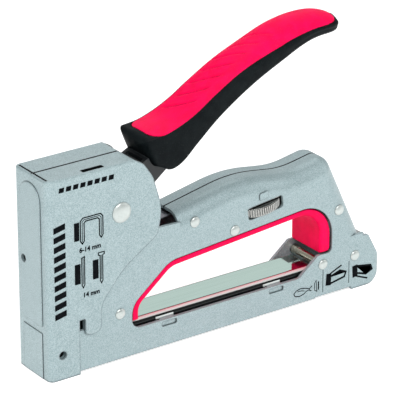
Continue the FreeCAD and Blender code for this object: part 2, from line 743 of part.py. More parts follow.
def grip_inlay():
    body = new_body("grip_inlay")
    pad(body, "XZ_Plane", [rounded(inlay_outline(0.0))], "dims.inlay_width", middle=True)
    return body


lever_arm()
shape_node("pivot_sleeve", cross_tube(PIVOT, dim("sleeve_radius"),
                                      dim("pivot_radius") + dim("running_gap"), INNER_HALF - 0.3))
grip_shell()
grip_inlay()
RETURN_COIL = coil(5.9, 0.6, 1.5, 6.0, Vector(PIVOT[0], -3.0, PIVOT[1]), Vector(0, 1, 0))
shape_node("lever_return_spring", RETURN_COIL)


# ---------------------------------------------------------------- magazine drawer

channel("magazine_rail", dim("rail_width"), dim("rail_top"), 5.0, dim("rail_gauge"), 4.2, 177.0, 0.6)
ROD_AT = dim("rod_height")


def round_bar(label, radius, start_x, end_x, height):
    body = new_body(label)
    pad(body, "YZ_Plane", [circle(0.0, height, radius)], end_x - start_x, start=start_x)
    return body


def along_block(label, outline, start_x, end_x, holes=()):
    """A piece of constant section along the tool, with round holes along it."""
    body = new_body(label)
    pad(body, "YZ_Plane", [outline], end_x - start_x, start=start_x)
    for radius in holes:
        pocket(body, "YZ_Plane", [circle(0.0, ROD_AT, radius)], end_x - start_x + 2.0,
               start=start_x - 1.0, reverse=True)
    return body


round_bar("guide_rod", dim("rod_radius"), 5.5, 180.0, ROD_AT)
along_block("rail_plug", box_outline(-3.9, 5.4, 3.9, 13.4, 0.4), 5.0, 11.0, [dim("rod_radius")])


def end_block():
    """Moulded rear end of the drawer, with two ears for the latch pin."""
    body = new_body("end_block")
    latch = (dim("latch_pin_x"), dim("latch_pin_z"))
    outline = rounded([(177.0, 1.6, 0.8), (189.6, 1.6, 3.0), (189.6, 15.0, 1.5), (177.0, 15.0, 0.8)])
    pad(body, "XZ_Plane", [outline], "dims.frame_width - 2 * dims.plate_gauge - 0.8", middle=True)
    ear = rounded([(181.2, 14.0), (186.8, 14.0), (186.8, 21.0, 2.6), (181.2, 21.0, 2.6)])
    pad(body, "XZ_Plane", [ear], 14.0, middle=True)
    pocket(body, "XZ_Plane", [box_outline(180.0, 15.0, 188.0, 22.0)], 8.6, middle=True)
    pocket(body, "XZ_Plane", [circle(*latch, dim("latch_pin_radius"))], 20.0, middle=True)
    pocket(body, "YZ_Plane", [circle(0.0, ROD_AT, dim("rod_radius"))], 4.0, start=176.0,
           reverse=True)
    return body


def latch_lever():
    """Sprung catch that reaches over the rear sleeve, with a thumb tab behind its pin."""
    body = new_body("latch_lever")
    latch = (dim("latch_pin_x"), dim("latch_pin_z"))
    outline = rounded([(171.9, 20.0, 0.4), (174.0, 20.0, 0.4), (174.4, 21.3, 0.4), (181.6, 20.9, 1.0),
                       (182.0, 16.3, 1.6), (186.0, 16.3, 1.6), (186.4, 20.6, 0.8),
                       (189.6, 21.0, 0.5), (189.2, 23.2, 0.8), (172.2, 23.2, 1.0)])
    pad(body, "XZ_Plane", [outline], 8.0, middle=True)
    pocket(body, "XZ_Plane", [circle(*latch, dim("latch_pin_radius") + dim("running_gap"))], 20.0,
           middle=True)
    return body


end_block()
latch_lever()
across_block("latch_pin", circle(dim("latch_pin_x"), dim("latch_pin_z"), dim("latch_pin_radius")), 14.0)
shape_node("latch_spring", coil(1.1, 0.25, 1.2, 5.0, Vector(187.9, 0, 15.3), Vector(0, 0, 1)))


def pusher():
    """Saddle over the rail, joined under it to a lug that slides on the guide rod."""
    body = new_body("pusher")
    saddle = box_outline(-5.65, 3.4, 5.65, 15.15, 0.4)
    pad(body, "YZ_Plane", [saddle], 18.0, start=12.5)
    around = rounded([(-4.9, 4.7), (-3.2, 4.7), (-3.2, 12.6, 0.5), (3.2, 12.6, 0.5), (3.2, 4.7),
                      (4.9, 4.7), (4.9, 14.4), (-4.9, 14.4)])
    pocket(body, "YZ_Plane", [around], 20.0, start=11.5, reverse=True)
    pocket(body, "YZ_Plane", [circle(0.0, ROD_AT, dim("rod_radius") + dim("running_gap"))], 20.0,
           start=11.5, reverse=True)
    return body


pusher()
shape_node("pusher_spring", coil(2.2, 0.4, 6.0, 144.0, Vector(31.0, 0, ROD_AT), Vector(1, 0, 0)))


# ---------------------------------------------------------------- checks and export

DOC.recompute()
for item in DOC.Objects:
    if "Invalid" in item.State or "Error" in item.State:
        raise RuntimeError(f"{item.Label} is {item.State}")
os.makedirs("parts", exist_ok=True)
for node in NODES:
    shape = node.Shape
    if shape.isNull() or not shape.isValid() or not shape.Solids:
        raise RuntimeError(f"{node.Label} has no valid solid")
    shape.exportStep(f"parts/{node.Label}.step")
    box = shape.BoundBox
    print(f"{node.Label:22s} {len(shape.Solids)} {shape.Volume:9.1f}  "
          f"x {box.XMin:7.1f} {box.XMax:7.1f}  y {box.YMin:6.1f} {box.YMax:6.1f}  "
          f"z {box.ZMin:6.1f} {box.ZMax:6.1f}")
print("lift ratio, mm per radian", round(LIFT_RATIO, 4))
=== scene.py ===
import bmesh
import bpy
import json
import math
from mathutils import Matrix, Vector


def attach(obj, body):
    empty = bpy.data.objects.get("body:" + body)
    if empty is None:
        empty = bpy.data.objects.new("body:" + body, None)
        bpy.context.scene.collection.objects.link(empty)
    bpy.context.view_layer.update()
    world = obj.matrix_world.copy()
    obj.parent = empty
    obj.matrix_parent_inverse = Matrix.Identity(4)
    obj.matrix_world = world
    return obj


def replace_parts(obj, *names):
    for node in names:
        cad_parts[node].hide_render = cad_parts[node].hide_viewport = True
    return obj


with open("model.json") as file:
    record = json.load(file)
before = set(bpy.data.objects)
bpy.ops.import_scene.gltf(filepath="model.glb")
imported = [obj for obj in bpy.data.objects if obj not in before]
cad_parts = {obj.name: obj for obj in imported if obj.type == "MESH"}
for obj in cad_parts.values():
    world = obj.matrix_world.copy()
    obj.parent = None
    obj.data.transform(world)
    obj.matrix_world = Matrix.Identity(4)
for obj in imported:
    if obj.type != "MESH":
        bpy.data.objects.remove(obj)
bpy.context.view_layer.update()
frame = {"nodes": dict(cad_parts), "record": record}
NODES = frame["nodes"]

# Hand staple gun. Places are given in millimetres from the nose: X = 0 at the front face and
# growing towards the rear, Y = 0 at the middle plane (the near side is -Y), Z = 0 at the floor.
MM = 0.001
HALF_LENGTH = 95.4
HOUSING_HALF = 13.7
PLATE_HALF = 12.4


def at(x, y, z):
    return Vector(((x - HALF_LENGTH) * MM, y * MM, z * MM))


# ---------------------------------------------------------------- shader groups

def put(tree, kind, sockets=None, **settings):
    """Adds a node; sockets are its inputs by name, each a value or an output to join to it."""
    made = tree.nodes.new(kind)
    for name, value in settings.items():
        setattr(made, name, value)
    for name, value in (sockets or {}).items():
        if isinstance(value, bpy.types.NodeSocket):
            tree.links.new(value, made.inputs[name])
        else:
            made.inputs[name].default_value = value
    return made


def maths(tree, operation, first, second=0.0):
    return put(tree, "ShaderNodeMath", {0: first, 1: second}, operation=operation).outputs[0]


def spread(tree, value, low, high, to_low=0.0, to_high=1.0):
    """Value stretched from low..high to to_low..to_high, and held inside that."""
    return put(tree, "ShaderNodeMapRange", {"Value": value, "From Min": low, "From Max": high,
                                            "To Min": to_low, "To Max": to_high}).outputs[0]


def noise(tree, vector, scale, detail=2.0, roughness=0.5):
    return put(tree, "ShaderNodeTexNoise", {"Vector": vector, "Scale": scale, "Detail": detail,
                                            "Roughness": roughness}).outputs["Fac"]


def shader_group(name, inputs, outputs):
    """An empty node group with float inputs {name: default} and float outputs [name]."""
    tree = bpy.data.node_groups.new(name, "ShaderNodeTree")
    tree.interface.new_socket("Vector", in_out="INPUT", socket_type="NodeSocketVector")
    for label, default in inputs.items():
        socket = tree.interface.new_socket(label, in_out="INPUT", socket_type="NodeSocketFloat")
        socket.default_value = default
    for label in outputs:
        tree.interface.new_socket(label, in_out="OUTPUT", socket_type="NodeSocketFloat")
    return tree, tree.nodes.new("NodeGroupInput"), tree.nodes.new("NodeGroupOutput")


PATCH_SHARE = 0.08


def hammer_grain_group():
    """Fine grain of hammer paint: bright and dark flecks, and the relief under them."""
    tree, given, result = shader_group("hammer_grain", {"Fleck Scale": 2000.0, "Relief Scale": 900.0},
                                       ["Flecks", "Relief"])
    flecks = noise(tree, given.outputs["Vector"], given.outputs["Fleck Scale"], 3.0, 0.6)
    patches = noise(tree, given.outputs["Vector"], 260.0, 1.0)
    mixed = maths(tree, "ADD", maths(tree, "MULTIPLY", flecks, 1.0 - PATCH_SHARE),
                  maths(tree, "MULTIPLY", patches, PATCH_SHARE))
    relief = noise(tree, given.outputs["Vector"], given.outputs["Relief Scale"], 2.0)
    tree.links.new(spread(tree, mixed, 0.36, 0.64), result.inputs["Flecks"])
    tree.links.new(relief, result.inputs["Relief"])
    return tree


def edge_shading_group():
    """Broken lines painted along outside edges, standing in for the light and shade on the rounded
    edges.
    """
    tree, given, result = shader_group("painted_edge_line", {"Edge Radius": 0.0005, "Break Up": 900.0}, ["Wear"])
    soft = put(tree, "ShaderNodeBevel", {"Radius": given.outputs["Edge Radius"]}, samples=6)
    here = tree.nodes.new("ShaderNodeNewGeometry")
    turn = put(tree, "ShaderNodeVectorMath", {0: soft.outputs[0], 1: here.outputs["Normal"]},
               operation="DOT_PRODUCT").outputs["Value"]
    edge = spread(tree, turn, 0.985, 0.86)
    uneven = noise(tree, given.outputs["Vector"], given.outputs["Break Up"], 3.0)
    broken = spread(tree, uneven, 0.3, 0.55, 0.35, 1.0)
    tree.links.new(maths(tree, "MULTIPLY", edge, broken), result.inputs["Wear"])
    return tree


def corner_shade_group():
    """Painted shade: thin dark lines where one surface meets another, from ambient occlusion over a
    short reach.
    """
    tree, given, result = shader_group("painted_corner_shade", {"Reach": 0.0012, "Low": 0.45, "High": 0.85},
                                       ["Grime"])
    shut = put(tree, "ShaderNodeAmbientOcclusion", {"Distance": given.outputs["Reach"]}, samples=8)
    level = put(tree, "ShaderNodeMapRange", {"Value": shut.outputs["AO"],
                                             "From Min": given.outputs["High"],
                                             "From Max": given.outputs["Low"]}).outputs[0]
    uneven = spread(tree, noise(tree, given.outputs["Vector"], 500.0, 3.0), 0.3, 0.6, 0.75, 1.0)
    tree.links.new(maths(tree, "MULTIPLY", level, uneven), result.inputs["Grime"])
    return tree


def handling_group():
    """Large soft patches of finger film and fine dust, for roughness and a little colour."""
    tree, given, result = shader_group("handling_film", {"Patch Scale": 60.0, "Dust Scale": 3000.0},
                                       ["Film", "Dust"])
    film = noise(tree, given.outputs["Vector"], given.outputs["Patch Scale"], 4.0, 0.6)
    dust = noise(tree, given.outputs["Vector"], given.outputs["Dust Scale"], 1.0)
    tree.links.new(spread(tree, film, 0.4, 0.68), result.inputs["Film"])
    tree.links.new(spread(tree, dust, 0.66, 0.74), result.inputs["Dust"])
    return tree


def drawn_lines_group():
    """Fine lines left by rolling or grinding, drawn out along X, Y or Z by the three stretches."""
    tree, given, result = shader_group("drawn_lines", {"Along X": 60.0, "Along Y": 3000.0,
                                                       "Along Z": 3000.0}, ["Lines"])
    stretch = put(tree, "ShaderNodeCombineXYZ", {"X": given.outputs["Along X"],
                                                 "Y": given.outputs["Along Y"],
                                                 "Z": given.outputs["Along Z"]}).outputs[0]
    scaled = put(tree, "ShaderNodeVectorMath", {0: given.outputs["Vector"], 1: stretch},
                 operation="MULTIPLY").outputs[0]
    tree.links.new(noise(tree, scaled, 1.0, 3.0, 0.6), result.inputs["Lines"])
    return tree


def moulded_texture_group():
    """Spark-eroded texture of a moulded plastic skin."""
    tree, given, result = shader_group("moulded_texture", {"Pip Scale": 1500.0}, ["Relief", "Tone"])
    pips = put(tree, "ShaderNodeTexVoronoi", {"Vector": given.outputs["Vector"],
                                              "Scale": given.outputs["Pip Scale"]}, feature="SMOOTH_F1")
    tone = noise(tree, given.outputs["Vector"], 220.0, 3.0)
    tree.links.new(pips.outputs["Distance"], result.inputs["Relief"])
    tree.links.new(spread(tree, tone, 0.35, 0.65), result.inputs["Tone"])
    return tree


def inside_box_group():
    """One within a box given in metres and nothing outside it."""
    ends = (("Low", -1.0), ("High", 1.0))
    limits = {f"{end} {axis}": value for axis in "XYZ" for end, value in ends}
    tree, given, result = shader_group("inside_box", limits, ["Inside"])
    place = put(tree, "ShaderNodeSeparateXYZ", {0: given.outputs["Vector"]}).outputs
    inside = None
    for axis in "XYZ":
        above = maths(tree, "GREATER_THAN", place[axis], given.outputs["Low " + axis])
        below = maths(tree, "LESS_THAN", place[axis], given.outputs["High " + axis])
        within = maths(tree, "MULTIPLY", above, below)
        inside = maths(tree, "MULTIPLY", inside, within) if inside else within
    tree.links.new(inside, result.inputs["Inside"])
    return tree


HAMMER_GRAIN = hammer_grain_group()
INSIDE_BOX = inside_box_group()
EDGE_SHADING = edge_shading_group()
CORNER_SHADE = corner_shade_group()
HANDLING = handling_group()
DRAWN_LINES = drawn_lines_group()
MOULDED_TEXTURE = moulded_texture_group()


# ---------------------------------------------------------------- finishes

# Near-black colour of the painted shade in corners and gaps.
PAINTED_SHADE_COLOUR = (0.045, 0.055, 0.06)
# Near-black painted shade for faces inside the housing, its slots and seams, and the liner's hidden
# part.
BOX_SHADE_COLOUR = (0.006, 0.007, 0.008)
# Silver paint in its dark flecks, in its light flecks, and the darker tone of the painted shade line
# along outside edges.
SILVER_TONES = ((0.23, 0.315, 0.33), (0.43, 0.535, 0.555), (0.13, 0.16, 0.17))
# Painted highlight for the cover's bend and the tabs' reflection, and painted dark reflection for its
# sides.
COVER_HIGHLIGHT = (0.80, 0.86, 0.84)
COVER_DARK_REFLECTION = (0.012, 0.015, 0.016)
# Heights of the magazine cover's flat top and of the lower end of its bend.
COVER_FLAT, COVER_BRIGHT_ABOVE = 17.0, 16.2
# Boxes as two corners: the cover beside the frame's tabs, then the housing's inner faces, slots and
# seam, the liner's hidden part and the plates' seam, painted near black as shade.
COVER_TAB_REFLECTIONS = [((61.5, -12.0, 14.0), (71.5, 12.0, 15.2)),
                 ((123.5, -12.0, 14.0), (133.5, 12.0, 15.2))]
HOUSING_SHADE_BOXES = [((1.3, -12.5, -1.0), (70.0, 12.5, 97.6)),
                  ((1.85, -11.5, 97.0), (2.85, 11.5, 99.0)),
                  ((1.3, -0.5, 97.0), (70.0, 0.5, 99.5)),
                  ((20.9, -12.35, 97.0), (32.5, -9.55, 99.0))]
LINER_SHADE_BOXES = [((50.0, -10.9, 44.8), (82.0, 10.9, 66.0))]
PLATE_SEAM_SHADE = [((60.0, -0.42, 20.0), (186.0, 0.42, 90.0))]


class Finish:
    """One material, with its Principled shader and Object coordinates ready."""

    def __init__(self, name, roughness, metallic=0.0, fixed=None):
        self.material = bpy.data.materials.new(name)
        self.material.use_nodes = True
        self.tree = self.material.node_tree
        self.shader = self.tree.nodes["Principled BSDF"]
        self.shader.inputs["Roughness"].default_value = roughness
        self.shader.inputs["Metallic"].default_value = metallic
        for label, value in (fixed or {}).items():
            self.shader.inputs[label].default_value = value
        self.place = self.tree.nodes.new("ShaderNodeTexCoord").outputs["Object"]

    def group(self, tree, **values):
        """Places a node group; its values are its inputs by name, with _ for a space."""
        made = self.tree.nodes.new("ShaderNodeGroup")
        made.node_tree = tree
        self.tree.links.new(self.place, made.inputs["Vector"])
        for label, value in values.items():
            made.inputs[label.replace("_", " ")].default_value = value
        return made.outputs

    def mix(self, factor, low, high):
        """Colour between low and high; each is a colour or the output of another mix."""
        made = put(self.tree, "ShaderNodeMix", data_type="RGBA")
        self.tree.links.new(factor, made.inputs["Factor"])
        for index, colour in ((6, low), (7, high)):
            if isinstance(colour, bpy.types.NodeSocket):
                self.tree.links.new(colour, made.inputs[index])
            else:
                made.inputs[index].default_value = (*colour, 1.0)
        return made.outputs[2]

    def colour(self, output):
        self.tree.links.new(output, self.shader.inputs["Base Color"])

    def boxed(self, toned, boxes, colour=BOX_SHADE_COLOUR):
        """The colour within each box, given as two corners in millimetres, and toned elsewhere; unless
        another is given, the colour is near-black painted shade.
        """
        for low, high in boxes:
            low, high = at(*low), at(*high)
            box = self.group(INSIDE_BOX, Low_X=low.x, Low_Y=low.y, Low_Z=low.z,
                             High_X=high.x, High_Y=high.y, High_Z=high.z)
            toned = self.mix(box["Inside"], toned, colour)
        return toned

    def rough(self, mask, low, high):
        """Roughness that goes from low to high with the mask."""
        value = spread(self.tree, mask, 0.0, 1.0, low, high)
        self.tree.links.new(value, self.shader.inputs["Roughness"])

    def relief(self, height, depth_mm, strength):
        bump = put(self.tree, "ShaderNodeBump", {"Height": height, "Distance": depth_mm * MM,
                                                 "Strength": strength})
        self.tree.links.new(bump.outputs[0], self.shader.inputs["Normal"])


def hammer_paint(name, dark, light, edge_tone, shade_boxes, edge_mm=0.6):
    """Silver hammer paint, with near-black painted shade inside the shade boxes."""
    made = Finish(name, 0.42, 0.25, {"Coat Weight": 0.12, "Coat Roughness": 0.25})
    grain = made.group(HAMMER_GRAIN, Fleck_Scale=2600.0, Relief_Scale=1130.0)
    film = made.group(HANDLING, Patch_Scale=45.0)
    # Painted edge line: outside edges toned darker, in place of their shading.
    edge_line = made.group(EDGE_SHADING, Edge_Radius=edge_mm * MM, Break_Up=700.0)
    # Painted shade in corners: the paint darkened where surfaces meet.
    corner_shade = made.group(CORNER_SHADE, Reach=0.0014)
    flecked = made.mix(grain["Flecks"], dark, light)
    edge_lined = made.mix(edge_line["Wear"], flecked, edge_tone)
    made.colour(made.boxed(made.mix(corner_shade["Grime"], edge_lined, PAINTED_SHADE_COLOUR), shade_boxes))
    made.rough(film["Film"], 0.36, 0.44)
    made.relief(grain["Relief"], 0.06, 0.6)
    return made.material


def plated_steel(name, dark, light, roughness, along, metallic=1.0, line_depth=0.01,
                 shade_reach=0.0012):
    """Bright metal with fine drawn lines; along gives the three stretches of the lines."""
    made = Finish(name, roughness, metallic)
    lines = made.group(DRAWN_LINES, Along_X=along[0], Along_Y=along[1], Along_Z=along[2])
    film = made.group(HANDLING, Patch_Scale=90.0)
    # Painted shade in corners: the metal darkened where surfaces meet.
    corner_shade = made.group(CORNER_SHADE, Reach=shade_reach)
    made.colour(made.mix(corner_shade["Grime"], made.mix(lines["Lines"], dark, light), PAINTED_SHADE_COLOUR))
    made.rough(film["Film"], roughness * 0.8, roughness * 1.3)
    made.relief(lines["Lines"], line_depth, 0.5)
    return made.material


def chromed_cover(name):
    """Bright plate on the top, a painted highlight on the bend, a painted reflection of the frame's
    tabs, and painted dark reflection on the sides below for the dark gap beside them.
    """
    made = Finish(name, 0.08, 1.0)
    lines = made.group(DRAWN_LINES, Along_X=25.0, Along_Y=1800.0, Along_Z=1800.0)
    film = made.group(HANDLING, Patch_Scale=55.0)
    bright = made.mix(lines["Lines"], (0.34, 0.46, 0.42), (0.44, 0.57, 0.52))
    height = put(made.tree, "ShaderNodeSeparateXYZ", {0: made.place}).outputs["Z"]
    # side masks the painted dark reflection below the bend; bend masks the painted highlight on it.
    side = spread(made.tree, height, COVER_BRIGHT_ABOVE * MM, (COVER_BRIGHT_ABOVE - 0.25) * MM)
    bend = spread(made.tree, height, COVER_FLAT * MM, (COVER_FLAT - 0.15) * MM)
    toned = made.mix(side, made.mix(bend, bright, COVER_HIGHLIGHT), COVER_DARK_REFLECTION)
    made.colour(made.boxed(toned, COVER_TAB_REFLECTIONS, COVER_HIGHLIGHT))
    mirror = spread(made.tree, bend, 0.0, 1.0, 1.0, 0.35)
    made.tree.links.new(mirror, made.shader.inputs["Metallic"])
    made.rough(film["Film"], 0.06, 0.12)
    made.relief(lines["Lines"], 0.003, 0.5)
    return made.material


def moulded_plastic(name, dark, light, dusty, roughness, pip_scale, depth, shaded=()):
    """Matt plastic with a spark-eroded skin, dark in its corners and inside the shaded boxes."""
    made = Finish(name, roughness, 0.0, {"Specular IOR Level": 0.06})
    corner_shade = made.group(CORNER_SHADE, Reach=0.0016)
    texture = made.group(MOULDED_TEXTURE, Pip_Scale=pip_scale)
    film = made.group(HANDLING, Patch_Scale=70.0, Dust_Scale=2600.0)
    toned = made.mix(film["Dust"], made.mix(texture["Tone"], dark, light), dusty)
    # Painted shade in corners: the plastic's dark tone at 0.12 of its strength.
    toned = made.mix(corner_shade["Grime"], toned, tuple(0.12 * part for part in dark))
    made.colour(made.boxed(toned, shaded))
    made.rough(film["Film"], roughness * 0.88, roughness * 1.15)
    made.relief(texture["Relief"], depth, 0.7)
    return made.material


def printed_ink(name):
    """Flat black screen-printing ink."""
    made = Finish(name, 0.6, 0.0, {"Specular IOR Level": 0.03})
    film = made.group(HANDLING, Patch_Scale=400.0)
    made.colour(made.mix(film["Film"], (0.002, 0.003, 0.004), (0.006, 0.007, 0.009)))
    return made.material


FINISHES = {
    "silver_paint": hammer_paint("silver_hammer_paint", *SILVER_TONES, PLATE_SEAM_SHADE),
    "black_steel": plated_steel("black_coated_steel", (0.005, 0.007, 0.008), (0.014, 0.017, 0.019), 0.4,
                                (300.0, 300.0, 300.0), 0.1, 0.02),
    "zinc_steel": plated_steel("zinc_plated_steel", (0.32, 0.34, 0.34), (0.48, 0.50, 0.50), 0.38,
                               (90.0, 2200.0, 2200.0), 0.85, 0.004, 0.0005),
    "rivet_steel": plated_steel("nickel_rivet_steel", (0.50, 0.55, 0.53), (0.64, 0.69, 0.67), 0.36,
                                (900.0, 900.0, 900.0), 0.6, 0.01),
    "spring_steel": plated_steel("oiled_spring_steel", (0.16, 0.17, 0.19), (0.34, 0.35, 0.38), 0.3,
                                 (80.0, 1800.0, 1800.0)),
    "brassed_steel": plated_steel("pale_passivated_tube", (0.52, 0.50, 0.38), (0.82, 0.80, 0.66), 0.24,
                                  (1500.0, 60.0, 1500.0)),
    "wheel_metal": plated_steel("knurled_wheel_nickel", (0.32, 0.33, 0.32), (0.58, 0.58, 0.55), 0.26,
                                (900.0, 900.0, 900.0)),
    "chrome_plate": chromed_cover("bright_chrome"),
    "red_soft_plastic": moulded_plastic("crimson_soft_plastic", (0.86, 0.001, 0.068),
                                        (0.98, 0.002, 0.090), (0.98, 0.02, 0.11), 0.5, 2400.0,
                                        0.015, LINER_SHADE_BOXES),
    "black_plastic": moulded_plastic("black_textured_plastic", (0.003, 0.005, 0.006),
                                     (0.006, 0.009, 0.010), (0.018, 0.022, 0.024), 0.52, 1500.0,
                                     0.03),
    "bumper_rubber": moulded_plastic("black_bumper_rubber", (0.012, 0.012, 0.012), (0.03, 0.03, 0.03),
                                     (0.07, 0.07, 0.07), 0.7, 1200.0, 0.03),
}
INK = printed_ink("black_printing_ink")
HOUSING_PAINT = hammer_paint("housing_hammer_paint", *SILVER_TONES, HOUSING_SHADE_BOXES, edge_mm=1.1)

for part in frame["record"]["subparts"]:
    for material_slot in NODES[part["node"]].material_slots:
        material_slot.material = FINISHES[part["material_slot"]]
for material_slot in NODES["front_housing"].material_slots:
    material_slot.material = HOUSING_PAINT


# ---------------------------------------------------------------- mesh helpers

def piece(name, mesh, body, slot, finish=None, smooth_angle=35.0):
    """Links a finished mesh as an object at the origin and gives it its body and finish."""
    made = bpy.data.objects.new(name, mesh)
    bpy.context.scene.collection.objects.link(made)
    mesh.materials.clear()
    mesh.materials.append(finish or FINISHES[slot])
    mesh.shade_smooth()
    mesh.set_sharp_from_angle(angle=math.radians(smooth_angle))
    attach(made, body)
    return made


def closed_mesh(name, points, faces, merge=1e-6):
    """Mesh from points in metres; doubles are merged and faces turned outwards."""
    mesh = bpy.data.meshes.new(name)
    mesh.from_pydata([tuple(p) for p in points], [], faces)
    tidy(mesh, merge)
    return mesh


def tidy(mesh, merge=1e-6):
    work = bmesh.new()
    work.from_mesh(mesh)
    bmesh.ops.remove_doubles(work, verts=work.verts, dist=merge)
    bmesh.ops.dissolve_degenerate(work, edges=work.edges, dist=1e-8)
    bmesh.ops.recalc_face_normals(work, faces=work.faces)
    work.to_mesh(mesh)
    work.free()


def smooth_line(points):
    """A function of x whose curve passes smoothly through the (x, value) points."""
    def slope(index):
        low, high = max(index - 1, 0), min(index + 1, len(points) - 1)
        return (points[high][1] - points[low][1]) / (points[high][0] - points[low][0])

    def value(x):
        x = min(max(x, points[0][0]), points[-1][0])
        index = max(i for i in range(len(points) - 1) if points[i][0] <= x)
        (x0, v0), (x1, v1) = points[index], points[index + 1]
        t = (x - x0) / (x1 - x0)
        m0, m1 = slope(index) * (x1 - x0), slope(index + 1) * (x1 - x0)
        return ((2 * t**3 - 3 * t**2 + 1) * v0 + (t**3 - 2 * t**2 + t) * m0
                + (3 * t**2 - 2 * t**3) * v1 + (t**3 - t**2) * m1)
    return value


def ease(value, low, high):
    t = min(max((value - low) / (high - low), 0.0), 1.0)
    return t * t * (3 - 2 * t)


# ---------------------------------------------------------------- grip

GRIP_FRONT, GRIP_TIP = 55.0, 169.2
crest_line = smooth_line([(55.0, 105.9), (66.0, 107.3), (75.5, 109.7), (86.0, 115.9), (98.0, 123.9),
                          (109.5, 131.1), (122.0, 137.3), (133.0, 141.9), (143.0, 143.9),
                          (151.0, 144.3), (158.0, 143.8), (164.0, 142.5), (169.2, 140.2)])
side_line = smooth_line([(55.0, 105.0), (66.2, 106.1), (75.2, 108.9), (84.3, 113.2), (93.4, 118.8),
                         (105.4, 125.6), (112.0, 128.6), (121.3, 132.0), (130.8, 135.0),
                         (140.4, 137.6), (150.0, 139.4), (160.0, 139.9), (169.2, 138.6)])
low_line = smooth_line([(55.0, 91.5), (64.0, 89.2), (71.0, 87.4), (77.0, 89.6), (84.3, 95.8),
                        (98.0, 106.8), (116.7, 118.5), (135.6, 127.8), (145.2, 132.0),
                        (154.0, 134.4), (162.0, 134.8), (169.2, 134.4)])
FACE_SLANT, SLANT_RUN = 0.33, 17.0
INLAY_FRONT, INLAY_TIP = 59.6, 167.0
INLAY_SEAT, INLAY_RISE = 1.5, 0.18
INLAY_RIM = 0.8
WALL_LEAN, WALL_BULGE = 0.35, 0.35
FRONT_ROUNDING = 3.0
GROOVE_COUNT, FIRST_GROOVE, GROOVE_PITCH, GROOVE_LEAN = 7, 83.0, 7.1, 0.70


def plan_half(x, front, tip, half, corner, tip_run, power):
    """Half width of a paddle with round front corners and a tip that closes over tip_run."""
    width = half
    if x < front + corner:
        width -= corner - math.sqrt(max(corner**2 - (front + corner - x)**2, 0.0))
    if x > tip - tip_run:
        share = min((x - (tip - tip_run)) / tip_run, 1.0)
        width = half * max(1.0 - share**power, 0.0)**(1.0 / power)
    return width


def grip_half(x):
    """Half width of the black body, with a slight waist under the palm."""
    waist = 0.5 * math.sin(math.pi * min(max((x - 66.0) / 80.0, 0.0), 1.0))**2
    return plan_half(x, GRIP_FRONT, GRIP_TIP, 12.0 - waist, 3.0, 13.0, 2.6)


def inlay_half(x):
    """Half width of the red layer, always a little inside the black body."""
    return min(plan_half(x, INLAY_FRONT, INLAY_TIP, 11.6, 7.5, 12.5, 2.6), grip_half(x) - 0.25)


def crown(x, y):
    """Height of the grip's top surface."""
    across = min(abs(y) / max(grip_half(x), 0.1), 1.0)
    return side_line(x) + (crest_line(x) - side_line(x)) * (1.0 - across**2.2)


def inlay_depth_inside(x, y):
    """How far inside the inlay's outline a point is, in plan; negative outside."""
    if x <= INLAY_FRONT or x >= INLAY_TIP:
        return -1.0
    return min(inlay_half(x) - abs(y), x - INLAY_FRONT, (INLAY_TIP - x) * 1.2)


def finger_ripple(x, y):
    """Depth of the slanting finger grooves in the inlay."""
    depth = 0.0
    for index in range(GROOVE_COUNT):
        middle = FIRST_GROOVE + GROOVE_PITCH * index
        along = middle - GROOVE_LEAN * y + 0.018 * y * y
        away = x - along
        cut = 1.15 * math.exp(-(away / 0.6)**2)
        swell = 0.25 * math.exp(-((away - 2.0) / 1.8)**2)
        fade = (1.0 - ease(abs(y - 1.0), 5.0, 8.5)) * (1.0 - 0.09 * index)
        depth += (cut + swell) * fade
    return depth


def stations(low, high, count, crowd):
    """Places from low to high, closer together at both ends when crowd is near 1."""
    places = []
    for index in range(count + 1):
        t = index / count
        eased = 0.5 - 0.5 * math.cos(math.pi * t)
        places.append(low + (high - low) * (t * (1 - crowd) + eased * crowd))
    return places


def grip_ring(x, top_count=28, side_count=8):
    """Closed section of the black body at one station, as (y, z) from near to far."""
    half = grip_half(x)
    closing = max(1.0 - max((x - GRIP_TIP + 6.0) / 6.0, 0.0)**2.4, 0.0)**0.5 + 0.02
    middle = (side_line(x) + low_line(x)) / 2
    bottom = middle + (low_line(x) - middle) * closing
    corner = min(3.6, half * 0.6, (side_line(x) - bottom) * 0.6)
    ring = []
    for index in range(top_count + 1):
        y = -half * math.cos(math.pi * index / top_count)
        seat = INLAY_SEAT * ease(inlay_depth_inside(x, y), -0.05, 0.25)
        ring.append((y, crown(x, y) - seat))
    wall_top = side_line(x)
    for index in range(1, side_count + 1):
        t = index / side_count
        bulge = WALL_BULGE * math.sin(math.pi * t) * closing
        ring.append((half + bulge - WALL_LEAN * t, wall_top + (bottom + corner - wall_top) * t))
    for index in range(1, 6):
        angle = math.pi / 2 * index / 6
        ring.append((half - WALL_LEAN - corner * (1 - math.cos(angle)),
                     bottom + corner * (1 - math.sin(angle))))
    base = half - WALL_LEAN - corner
    for index in range(9):
        ring.append((base * (1 - index / 4), bottom))
    for index in range(5, 0, -1):
        angle = math.pi / 2 * index / 6
        ring.append((-(half - WALL_LEAN - corner * (1 - math.cos(angle))),
                     bottom + corner * (1 - math.sin(angle))))
    for index in range(side_count, 0, -1):
        t = index / side_count
        bulge = WALL_BULGE * math.sin(math.pi * t) * closing
        ring.append((-(half + bulge - WALL_LEAN * t), wall_top + (bottom + corner - wall_top) * t))
    return ring


def front_slant(x):
    """How far the front face leans back for each millimetre down, fading out behind it."""
    return FACE_SLANT * (1.0 - ease(x, GRIP_FRONT, GRIP_FRONT + SLANT_RUN))


